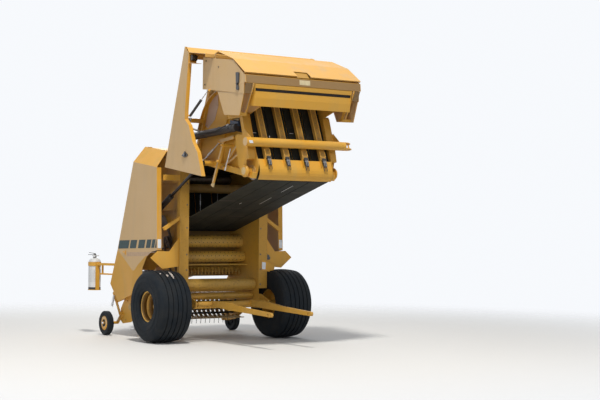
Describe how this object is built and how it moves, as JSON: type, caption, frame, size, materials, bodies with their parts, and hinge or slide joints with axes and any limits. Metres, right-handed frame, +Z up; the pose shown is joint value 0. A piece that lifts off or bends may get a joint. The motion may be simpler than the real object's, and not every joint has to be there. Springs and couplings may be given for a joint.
{
  "type": "round baler",
  "caption": "Trailed round baler with a belt chamber, parked on its jack with the tailgate swung open, a tined pickup, a bale ramp and hinged side shields in golden yellow.",
  "frame": {"origin": "on the ground under the middle of the parked machine, between the rear end of the open tailgate and the tip of the hitch, on the machine's centre line", "axes": "+X forward to the hitch, +Y to the machine's left side, +Z up"},
  "size_m": [4.9016, 2.5294, 4.1018],
  "materials": {
    "body_paint": "satin",
    "dark_paint": "satin",
    "guard_plastic": "matte",
    "chain_steel": "satin",
    "roller_steel": "satin",
    "rod_chrome": "polished",
    "bare_steel": "satin",
    "belt_rubber": "matte",
    "tyre": "matte",
    "white_paint": "satin"
  },
  "bodies": {
    "frame": {"chamber_left": "body_paint", "chamber_right": "body_paint", "cross_beams": "body_paint", "axle": "body_paint", "tongue": "body_paint", "hitch": "bare_steel", "gearbox": "dark_paint", "driveline": "guard_plastic", "chain_drive": "chain_steel", "rollers_front": "roller_steel", "starter_rollers": "body_paint", "feed_fingers": "body_paint", "bracket_left": "body_paint", "bracket_right": "body_paint", "front_cover": "body_paint", "belts_front": "belt_rubber", "belts_span": "belt_rubber", "extinguisher": "white_paint", "extinguisher_arm": "body_paint"},
    "jack": {"jack": "dark_paint", "jack_leg": "bare_steel"},
    "door_left": {"shield_left": "body_paint"},
    "door_right": {"shield_right": "body_paint"},
    "wheel_left": {"rim_left": "body_paint", "tyre_left": "tyre"},
    "wheel_right": {"rim_right": "body_paint", "tyre_right": "tyre"},
    "lift_barrel_left": {"lift_barrel_left": "dark_paint"},
    "lift_barrel_right": {"lift_barrel_right": "dark_paint"},
    "lift_rod_left": {"lift_rod_left": "rod_chrome"},
    "lift_rod_right": {"lift_rod_right": "rod_chrome"},
    "gate": {"gate_left": "body_paint", "gate_right": "body_paint", "gate_tube": "body_paint", "gate_beam": "body_paint", "slats": "body_paint", "gate_plate": "body_paint", "gate_rollers": "roller_steel", "gate_cylinders": "dark_paint", "gate_latches": "body_paint", "gate_shield_left": "body_paint", "gate_shield_right": "body_paint", "gate_strip": "body_paint", "net_box": "body_paint", "belts_gate": "belt_rubber"},
    "net_lid": {"net_lid": "body_paint"},
    "pickup": {"pickup_frame": "body_paint", "pickup_bands": "body_paint", "windguard": "body_paint"},
    "reel": {"reel": "dark_paint"},
    "gauge_left": {"gauge_left": "tyre"},
    "gauge_right": {"gauge_right": "tyre"},
    "ramp": {"ramp": "body_paint"}
  },
  "joints": [
    {"name": "wheel_left", "type": "hinge", "parent": "frame", "child": "wheel_left", "pos_m": [-0.3592, 1.005, 0.51], "axis": [0, 1, 0], "continuous": true},
    {"name": "wheel_right", "type": "hinge", "parent": "frame", "child": "wheel_right", "pos_m": [-0.3592, -1.005, 0.51], "axis": [0, 1, 0], "continuous": true},
    {"name": "gate_hinge", "type": "hinge", "parent": "frame", "child": "gate", "pos_m": [-0.4292, 0, 2.6], "axis": [0, 1, 0], "range_deg": [-80, 0], "deforming": ["belts_span"]},
    {"name": "net_lid_hinge", "type": "hinge", "parent": "gate", "child": "net_lid", "pos_m": [-1.66, 0, 3.9366], "axis": [0, 1, 0], "range_deg": [0, 55]},
    {"name": "door_left_hinge", "type": "hinge", "parent": "frame", "child": "door_left", "pos_m": [0.1408, 0.85, 2.7632], "axis": [0.99, 0, 0.1412], "range_deg": [0, 70]},
    {"name": "door_right_hinge", "type": "hinge", "parent": "frame", "child": "door_right", "pos_m": [0.1408, -0.85, 2.7632], "axis": [-0.99, 0, -0.1412], "range_deg": [0, 70]},
    {"name": "lift_barrel_left_pin", "type": "hinge", "parent": "frame", "child": "lift_barrel_left", "pos_m": [0.6008, 0.84, 1.603], "axis": [0, 1, 0], "range_deg": [-14.6, 0]},
    {"name": "lift_rod_left_slide", "type": "slide", "parent": "lift_barrel_left", "child": "lift_rod_left", "axis": [-0.8927, 0, 0.4506], "range_m": [-0.912, 0]},
    {"name": "lift_barrel_right_pin", "type": "hinge", "parent": "frame", "child": "lift_barrel_right", "pos_m": [0.6008, -0.84, 1.603], "axis": [0, 1, 0], "range_deg": [-14.6, 0]},
    {"name": "lift_rod_right_slide", "type": "slide", "parent": "lift_barrel_right", "child": "lift_rod_right", "axis": [-0.8927, 0, 0.4506], "range_m": [-0.912, 0]},
    {"name": "pickup_lift", "type": "hinge", "parent": "frame", "child": "pickup", "pos_m": [0.2608, 0, 0.8], "axis": [0, -1, 0], "range_deg": [0, 18]},
    {"name": "reel_spin", "type": "hinge", "parent": "pickup", "child": "reel", "pos_m": [0.7708, 0, 0.44], "axis": [0, 1, 0], "continuous": true},
    {"name": "gauge_left_spin", "type": "hinge", "parent": "pickup", "child": "gauge_left", "pos_m": [1.2008, 1.1, 0.184], "axis": [0, 1, 0], "continuous": true},
    {"name": "gauge_right_spin", "type": "hinge", "parent": "pickup", "child": "gauge_right", "pos_m": [1.2008, -1.1, 0.184], "axis": [0, 1, 0], "continuous": true},
    {"name": "ramp_hinge", "type": "hinge", "parent": "frame", "child": "ramp", "pos_m": [-0.6092, 0, 0.54], "axis": [0, 1, 0], "range_deg": [-14, 0]},
    {"name": "jack_pivot", "type": "hinge", "parent": "frame", "child": "jack", "pos_m": [1.9908, 0.2, 0.66], "axis": [0, 1, 0], "range_deg": [0, 90]}
  ],
  "couplings": [
    {"joint": "lift_barrel_left_pin", "follows": "gate_hinge", "ratio": 0.18182},
    {"joint": "lift_rod_left_slide", "follows": "gate_hinge", "m_per_rad": 0.65213},
    {"joint": "lift_barrel_right_pin", "follows": "gate_hinge", "ratio": 0.18182},
    {"joint": "lift_rod_right_slide", "follows": "gate_hinge", "m_per_rad": 0.65213}
  ]
}
